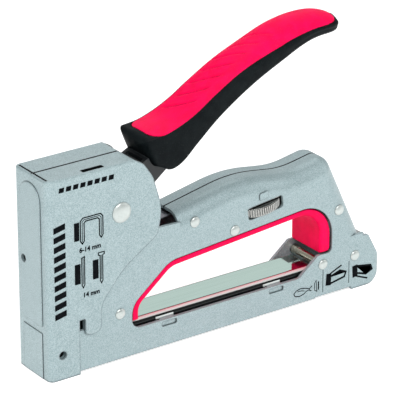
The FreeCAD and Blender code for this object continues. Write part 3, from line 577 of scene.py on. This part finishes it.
def grip_body():
    """Black body: rings along X with the front face rounded in and slanted back."""
    front_steps = 10
    rounded_places = [GRIP_FRONT + FRONT_ROUNDING * (1 - math.cos(math.pi / 2 * i / front_steps))
                      for i in range(front_steps)]
    rows = []
    for x in rounded_places + stations(GRIP_FRONT + FRONT_ROUNDING, GRIP_TIP, 150, 0.35):
        ring = grip_ring(x)
        near_face = max(FRONT_ROUNDING - (x - GRIP_FRONT), 0.0)
        shrink = FRONT_ROUNDING - math.sqrt(max(FRONT_ROUNDING**2 - near_face**2, 0.0))
        heights = [z for y, z in ring]
        top, low = max(heights), min(heights)
        middle, half_height = (top + low) / 2, (top - low) / 2
        half = grip_half(x)
        slant = front_slant(x)
        across = (half - shrink) / half if half > 0.2 else 1.0
        upright = (half_height - shrink) / half_height
        rows.append([at(x + slant * (top - z), y * across, middle + (z - middle) * upright)
                     for y, z in ring])
    return loft("grip_body", rows)


def loft(name, rows):
    """Closed mesh through rings of equal count, with both ends filled."""
    count = len(rows[0])
    points = [p for row in rows for p in row]
    faces = []
    for r in range(len(rows) - 1):
        for k in range(count):
            a, b = r * count + k, r * count + (k + 1) % count
            faces.append((a, b, b + count, a + count))
    for r in (0, len(rows) - 1):
        faces.append(tuple(r * count + k for k in range(count)))
    return closed_mesh(name, points, faces, 2e-5)


def grip_pad():
    """Soft red layer: a crowned skin with slanting grooves, rounded down at its rim."""
    across_count = 56
    top_rows, low_rows = [], []
    for x in stations(INLAY_FRONT, INLAY_TIP, 260, 0.25):
        half = inlay_half(x)
        top, low = [], []
        for index in range(across_count + 1):
            y = -half * math.cos(math.pi * index / across_count)
            inside = max(min(inlay_half(x) - abs(y), x - INLAY_FRONT, INLAY_TIP - x), 0.0)
            rim = max(INLAY_RIM - inside, 0.0)
            drop = INLAY_RIM - math.sqrt(max(INLAY_RIM**2 - rim**2, 0.0))
            z = crown(x, y) + INLAY_RISE - 0.7 * drop
            ripple = finger_ripple(x, y) * ease(inside, 0.5, 2.5)
            shift = front_slant(x) * max(crown(x, 0.0) - z, 0.0)
            top.append(at(x + shift, y, z - ripple))
            low.append(at(x + shift, y, crown(x, y) - INLAY_SEAT + 0.05))
        top_rows.append(top)
        low_rows.append(list(reversed(low)))
    return loft("grip_pad", [t + l for t, l in zip(top_rows, low_rows)])


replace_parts(piece("grip_body", grip_body(), "handle", "black_plastic"), "grip_shell")
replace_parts(piece("grip_pad", grip_pad(), "handle", "red_soft_plastic"), "grip_inlay")


# ---------------------------------------------------------------- repeated pieces, by Geometry Nodes

def geometry_tree(name, inputs):
    """A Geometry Nodes tree with float inputs {name: default}, its ends joined by the caller."""
    tree = bpy.data.node_groups.new(name, "GeometryNodeTree")
    tree.interface.new_socket("Geometry", in_out="INPUT", socket_type="NodeSocketGeometry")
    for label, default in inputs.items():
        socket = tree.interface.new_socket(label, in_out="INPUT", socket_type="NodeSocketFloat")
        socket.default_value = default
    tree.interface.new_socket("Geometry", in_out="OUTPUT", socket_type="NodeSocketGeometry")
    return tree, tree.nodes.new("NodeGroupInput"), tree.nodes.new("NodeGroupOutput")


def finish_tree(tree, result, geometry, material):
    """Ends a tree with real meshes in one material."""
    real = put(tree, "GeometryNodeRealizeInstances", {"Geometry": geometry})
    coloured = put(tree, "GeometryNodeSetMaterial", {"Geometry": real.outputs[0],
                                                     "Material": material})
    tree.links.new(coloured.outputs[0], result.inputs[0])


def vector_of(tree, x=0.0, y=0.0, z=0.0):
    return put(tree, "ShaderNodeCombineXYZ", {"X": x, "Y": y, "Z": z}).outputs[0]


def plain_mesh(holder):
    """The evaluated mesh of an object, on its own."""
    graph = bpy.context.evaluated_depsgraph_get()
    return bpy.data.meshes.new_from_object(holder.evaluated_get(graph))


def grown(name, tree, start, values):
    """Runs a tree on a mesh of loose points and returns the plain mesh that it makes."""
    seed = bpy.data.meshes.new(name + "_start")
    seed.from_pydata([tuple(p) for p in start], [], [])
    holder = bpy.data.objects.new(name + "_start", seed)
    bpy.context.scene.collection.objects.link(holder)
    modifier = holder.modifiers.new("grow", "NODES")
    modifier.node_group = tree
    for item in tree.interface.items_tree:
        if item.in_out == "INPUT" and item.name in values:
            modifier[item.identifier] = values[item.name]
    bpy.context.view_layer.update()
    mesh = plain_mesh(holder)
    holder.modifiers.clear()
    bpy.data.objects.remove(holder)
    mesh.name = name
    return mesh


def rivet_tree():
    """At each point: a shank along Y and a domed head on both ends."""
    sizes = {"Head Radius": 0.0026, "Head Rise": 0.0011, "Shank Radius": 0.0015, "Half Grip": 0.0124}
    tree, given, result = geometry_tree("domed_rivets", sizes)
    ball = put(tree, "GeometryNodeMeshUVSphere", {"Segments": 48, "Rings": 24, "Radius": 1.0})
    radius, rise = given.outputs["Head Radius"], given.outputs["Head Rise"]
    half_grip = given.outputs["Half Grip"]
    size = vector_of(tree, radius, rise, radius)
    shank = put(tree, "GeometryNodeMeshCylinder", {"Vertices": 24,
                                                   "Radius": given.outputs["Shank Radius"],
                                                   "Depth": maths(tree, "MULTIPLY", half_grip, 2.0)})
    turned = put(tree, "GeometryNodeTransform", {"Geometry": shank.outputs["Mesh"],
                                                 "Rotation": (math.pi / 2, 0.0, 0.0)})
    joined = tree.nodes.new("GeometryNodeJoinGeometry")
    tree.links.new(turned.outputs[0], joined.inputs[0])
    for side in (-1.0, 1.0):
        place = vector_of(tree, 0.0, maths(tree, "MULTIPLY", half_grip, side), 0.0)
        head = put(tree, "GeometryNodeTransform", {"Geometry": ball.outputs["Mesh"],
                                                   "Translation": place, "Scale": size})
        tree.links.new(head.outputs[0], joined.inputs[0])
    spots = put(tree, "GeometryNodeInstanceOnPoints", {"Points": given.outputs["Geometry"],
                                                       "Instance": joined.outputs[0]})
    finish_tree(tree, result, spots.outputs[0], FINISHES["rivet_steel"])
    return tree


RIVET_PLACES = [(40.0, 23.9), (82.0, 59.3), (104.8, 49.2), (166.6, 44.2), (157.4, 17.9),
                (176.9, 17.6)]
PIVOT = (40.5, 75.1)
rivets = rivet_tree()
small_heads = grown("body_rivet_set", rivets, [at(x, 0, z) for x, z in RIVET_PLACES],
                    {"Head Radius": 2.65 * MM, "Head Rise": 1.08 * MM, "Shank Radius": 1.5 * MM,
                     "Half Grip": PLATE_HALF * MM})
pivot_head = grown("pivot_rivet_set", rivets, [at(PIVOT[0], 0, PIVOT[1])],
                   {"Head Radius": 5.0 * MM, "Head Rise": 1.58 * MM, "Shank Radius": 3.0 * MM,
                    "Half Grip": HOUSING_HALF * MM})
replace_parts(piece("body_rivet_set", small_heads, "frame", "rivet_steel"), "body_rivets")
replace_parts(piece("pivot_rivet_set", pivot_head, "frame", "rivet_steel"), "pivot_rivet")


KNURL_COUNT = 72


def wheel_tree():
    """A disc with rounded knurls stood round its rim, about the Z axis."""
    sizes = {"Rim Radius": 0.0143, "Thickness": 0.0042, "Knurl Radius": 0.00045}
    tree, given, result = geometry_tree("knurled_wheel", sizes)
    rim, thick, knurl = (given.outputs[label] for label in sizes)
    core_radius = maths(tree, "SUBTRACT", rim, knurl)
    core = put(tree, "GeometryNodeMeshCylinder", {"Vertices": 96, "Radius": core_radius,
                                                  "Depth": thick})
    step = put(tree, "GeometryNodeMeshCylinder", {"Vertices": 48,
                                                  "Radius": maths(tree, "MULTIPLY", rim, 0.45),
                                                  "Depth": maths(tree, "ADD", thick, 0.0002)})
    ring = put(tree, "GeometryNodeMeshCircle", {"Vertices": KNURL_COUNT, "Radius": core_radius})
    tooth = put(tree, "GeometryNodeMeshCylinder", {"Vertices": 10, "Radius": knurl,
                                                   "Depth": maths(tree, "MULTIPLY", thick, 0.84)})
    teeth = put(tree, "GeometryNodeInstanceOnPoints", {"Points": ring.outputs[0],
                                                       "Instance": tooth.outputs["Mesh"]})
    joined = tree.nodes.new("GeometryNodeJoinGeometry")
    for geometry in (core.outputs["Mesh"], step.outputs["Mesh"], teeth.outputs[0]):
        tree.links.new(geometry, joined.inputs[0])
    finish_tree(tree, result, joined.outputs[0], FINISHES["wheel_metal"])
    return tree


WHEEL_TURN = Matrix.Translation(at(122.7, 0, 55.8)) @ Matrix.Rotation(math.radians(-7.0), 4, "Y")
wheel = grown("power_wheel_knurled", wheel_tree(), [(0, 0, 0)],
              {"Rim Radius": 14.28 * MM, "Thickness": 4.2 * MM})
wheel.transform(WHEEL_TURN)
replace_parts(piece("power_wheel_knurled", wheel, "power_wheel", "wheel_metal"), "power_wheel")


# ---------------------------------------------------------------- printing on the sides

INK_RISE = 0.05
BOLD_LINE, FINE_LINE = 0.58, 0.34
TOOL_SIGN_HEIGHT = 9.4


def stroke(points, width, closed=False):
    """Outline of a drawn line of that width through the (x, z) points."""
    spots = [Vector(p) for p in points]
    count = len(spots)
    left, right = [], []
    for index, spot in enumerate(spots):
        before = spots[index - 1] if closed or index else None
        after = spots[(index + 1) % count] if closed or index < count - 1 else None
        into = (spot - before).normalized() if before is not None else None
        out = (after - spot).normalized() if after is not None else None
        into, out = into or out, out or into
        normals = [Vector((-d.y, d.x)) for d in (into, out)]
        mitre = (normals[0] + normals[1]).normalized()
        reach = width / 2 / max(mitre.dot(normals[0]), 0.35)
        left.append(spot + mitre * reach)
        right.append(spot - mitre * reach)
    if not closed:
        return [left + list(reversed(right))]
    following = [(index + 1) % count for index in range(count)]
    return [[left[i], left[j], right[j], right[i]] for i, j in enumerate(following)]


def printed(name, outlines, half_width):
    """Ink film of the given outlines on the near side, as thin closed slabs."""
    work = bmesh.new()
    outer, inner = -half_width - INK_RISE, -half_width + 0.02
    for outline in outlines:
        rings = [[work.verts.new(at(p[0], y, p[1])) for p in outline] for y in (outer, inner)]
        work.faces.new(rings[0])
        work.faces.new(reversed(rings[1]))
        front, back = rings
        for index in range(len(outline)):
            following = (index + 1) % len(outline)
            work.faces.new((front[following], front[index], back[index], back[following]))
    bmesh.ops.triangulate(work, faces=[f for f in work.faces if len(f.verts) > 4])
    bmesh.ops.recalc_face_normals(work, faces=work.faces)
    mesh = bpy.data.meshes.new(name)
    work.to_mesh(mesh)
    work.free()
    return piece(name, mesh, "frame", "black_plastic", INK, 20.0)


def rectangle(x0, z0, x1, z1):
    return [(x0, z0), (x1, z0), (x1, z1), (x0, z1)]


FIGURE_SIZE, FIGURE_BOLDNESS = 1.4, 0.12


def numerals(name, text, x, z, height, half_width):
    """A size figure in a plain face, with its baseline's left end at x, z."""
    curve = bpy.data.curves.new(name, "FONT")
    curve.body, curve.size = text, height * FIGURE_SIZE
    curve.extrude, curve.resolution_u = INK_RISE / 2, 4
    curve.offset = FIGURE_BOLDNESS
    holder = bpy.data.objects.new(name, curve)
    bpy.context.scene.collection.objects.link(holder)
    bpy.context.view_layer.update()
    mesh = plain_mesh(holder)
    bpy.data.objects.remove(holder)
    mesh.transform(Matrix.Translation(at(x, -half_width - INK_RISE / 2, z)) @ Matrix.Scale(MM, 4)
                   @ Matrix.Rotation(math.pi / 2, 4, "X"))
    tidy(mesh)
    return piece(name, mesh, "frame", "black_plastic", INK, 20.0)


def staple_sign():
    """A staple drawn in outline, with its plain tag."""
    lines = stroke([(18.2, 66.2), (18.2, 76.2), (19.6, 77.6), (29.0, 77.6), (30.3, 76.2),
                    (30.3, 67.0)], BOLD_LINE)
    lines += stroke([(20.2, 66.2), (20.2, 75.0), (21.0, 75.8), (27.6, 75.8), (28.4, 75.0),
                     (28.4, 67.0)], BOLD_LINE)
    lines += stroke([(19.2, 66.0), (19.2, 75.8), (20.2, 76.7), (28.4, 76.7), (29.35, 75.8),
                     (29.35, 66.9)], FINE_LINE)
    lines += stroke([(18.2, 66.3), (19.2, 65.0), (20.2, 66.3)], BOLD_LINE)
    lines += stroke([(28.4, 67.1), (29.35, 65.8), (30.3, 67.1)], BOLD_LINE)
    return lines + [rectangle(14.8, 67.0, 17.6, 76.0)]


def brad_sign():
    """A headless pin in outline, with its plain tag."""
    lines = stroke([(18.6, 44.6), (18.6, 58.0), (20.1, 58.6), (20.1, 44.6), (19.35, 43.2)], 0.52, True)
    lines += stroke([(19.35, 45.0), (19.35, 57.8)], 0.3)
    return lines + [rectangle(14.8, 45.6, 17.9, 55.5)]


def nail_sign():
    """A headed nail in outline, with its plain tag."""
    lines = stroke([(28.5, 44.4), (28.5, 56.9), (27.6, 57.3), (27.6, 58.4), (30.8, 58.4), (30.8, 57.3),
                    (29.9, 56.9), (29.9, 44.4), (29.2, 43.1)], 0.52, True)
    lines += stroke([(29.2, 45.0), (29.2, 57.0)], 0.3)
    return lines + [rectangle(24.5, 45.9, 27.6, 55.4)]


def slanted_bars():
    """A plain column of slanted bars along the front edge."""
    bars = []
    for index in range(10):
        z = 30.6 + 4.75 * index
        bars.append([(3.9, z), (10.1, z + 1.3), (10.1, z + 4.2), (3.9, z + 2.9)])
    return bars


def dash_row():
    """A plain row of dashes under the top edge."""
    pitch, low, high = 3.8, 92.6, 94.9
    return [[(7.0 + pitch * i, low), (9.7 + pitch * i, low), (10.1 + pitch * i, high),
             (7.4 + pitch * i, high)] for i in range(8)]


def squeeze_sign():
    """A finger and thumb that pinch a catch."""
    hand = stroke([(139.9, 6.6), (141.4, 8.0), (144.0, 8.6), (147.4, 7.9), (149.4, 7.1),
                   (151.0, 8.3)], 0.46)
    hand += stroke([(139.9, 6.6), (140.8, 5.2), (143.4, 4.6), (146.0, 5.2), (147.6, 6.3),
                    (149.2, 6.6), (150.6, 5.6)], 0.46)
    hand += stroke([(142.2, 7.4), (144.6, 7.3), (146.4, 6.7)], FINE_LINE)
    catch = stroke([(152.4, 9.2), (153.4, 10.4), (153.9, 4.6), (152.6, 5.3)], 0.36, True)
    return hand + catch + [[(154.5, 5.4), (155.2, 5.0), (155.2, 9.8), (154.5, 9.4)]]


def tool_sign(x, z, flip):
    """A small solid picture of the tool, upright or upside down."""
    def spot(a, b):
        return (x + a, z + (b if flip > 0 else TOOL_SIGN_HEIGHT - b))

    solid = [spot(0.0, 0.6), spot(3.2, 0.2), spot(3.4, 6.4), spot(0.4, 6.8)]
    loop = stroke([spot(3.0, 1.1), spot(11.4, 2.6), spot(12.3, 5.0), spot(8.6, 6.6),
                   spot(3.2, 4.9)], 1.0)
    lever = stroke([spot(2.6, 6.3), spot(5.2, 7.4), spot(9.6, 9.2)], 0.8)
    return [solid] + loop + lever


def dividers():
    return stroke([(157.5, 3.2), (157.5, 15.0)], 0.3) + stroke([(173.4, 3.8), (173.4, 15.5)], 0.3)


printed("side_size_signs", staple_sign() + brad_sign() + nail_sign(), HOUSING_HALF)
printed("side_plain_marks", slanted_bars() + dash_row(), HOUSING_HALF)
printed("rear_loading_signs", squeeze_sign() + tool_sign(159.2, 5.4, 1) + tool_sign(175.4, 3.2, -1)
        + dividers(), PLATE_HALF)
numerals("staple_leg_figures", "6-14 mm", 17.4, 61.0, 2.3, HOUSING_HALF)
numerals("nail_length_figures", "14 mm", 19.0, 38.4, 2.3, HOUSING_HALF)


# ---------------------------------------------------------------- stage, lights and camera

def floor_finish():
    made = Finish("pale_studio_floor", 0.85)
    film = made.group(HANDLING, Patch_Scale=6.0)
    made.colour(made.mix(film["Film"], (0.60, 0.60, 0.60), (0.63, 0.63, 0.63)))
    made.shader.inputs["Emission Color"].default_value = (1, 1, 1, 1)
    made.shader.inputs["Emission Strength"].default_value = 0.70
    return made.material


def floor():
    mesh = bpy.data.meshes.new("studio_floor")
    reach = 12.0
    corners = [(-reach, -reach, 0), (reach, -reach, 0), (reach, reach, 0), (-reach, reach, 0)]
    mesh.from_pydata(corners, [], [(0, 1, 2, 3)])
    mesh.materials.append(floor_finish())
    made = bpy.data.objects.new("studio_floor", mesh)
    bpy.context.scene.collection.objects.link(made)


def soft_light(name, place, aim, size, power, colour=(1, 1, 1)):
    lamp = bpy.data.lights.new(name, "AREA")
    lamp.shape, lamp.size, lamp.size_y = "RECTANGLE", size[0], size[1]
    lamp.energy, lamp.color = power, colour
    made = bpy.data.objects.new(name, lamp)
    made.location = place
    made.rotation_euler = (Vector(aim) - Vector(place)).to_track_quat("-Z", "Y").to_euler()
    bpy.context.scene.collection.objects.link(made)


def studio():
    world = bpy.data.worlds.new("studio_room")
    world.use_nodes = True
    tree = world.node_tree
    sky = tree.nodes["Background"]
    ways = tree.nodes.new("ShaderNodeTexCoord").outputs["Generated"]
    up = put(tree, "ShaderNodeSeparateXYZ", {0: ways})
    ramp = tree.nodes.new("ShaderNodeValToRGB")
    level, overhead = ramp.color_ramp.elements
    level.position, level.color = 0.0, (0.75, 0.78, 0.78, 1)
    overhead.position, overhead.color = 0.6, (1, 1, 1, 1)
    tree.links.new(up.outputs["Z"], ramp.inputs[0])
    tree.links.new(ramp.outputs[0], sky.inputs[0])
    sky.inputs[1].default_value = 0.32
    bpy.context.scene.world = world
    soft_light("key_softbox", (-0.25, -0.85, 0.95), (0, 0, 0.06), (0.7, 0.5), 10.0)
    soft_light("top_softbox", (0.1, 0.4, 1.1), (0, 0, 0.05), (1.0, 0.6), 3.6)
    soft_light("rear_fill", (0.9, -0.5, 0.5), (0.05, 0, 0.06), (0.6, 0.6), 1.6)
    soft_light("back_card", (0.85, 1.35, 0.75), (0.0, 0, 0.0), (1.1, 0.6), 1.6)
    soft_light("nose_fill", (-1.1, -0.1, 0.5), (-0.09, 0, 0.05), (0.5, 0.5), 2.8)


def camera():
    lens = bpy.data.cameras.new("bench_camera")
    lens.lens, lens.sensor_width = 256.94, 36.0
    made = bpy.data.objects.new("bench_camera", lens)
    made.location = at(-612.93, -1001.27, 591.755)
    turn, tip = math.radians(35.206), math.radians(23.33)
    ahead = Vector((math.sin(turn) * math.cos(tip), math.cos(turn) * math.cos(tip), -math.sin(tip)))
    made.rotation_euler = ahead.to_track_quat("-Z", "Y").to_euler()
    lens.clip_start, lens.clip_end = 0.01, 50.0
    bpy.context.scene.collection.objects.link(made)
    bpy.context.scene.camera = made


floor()
studio()
camera()
bpy.context.scene.view_settings.view_transform = "Standard"
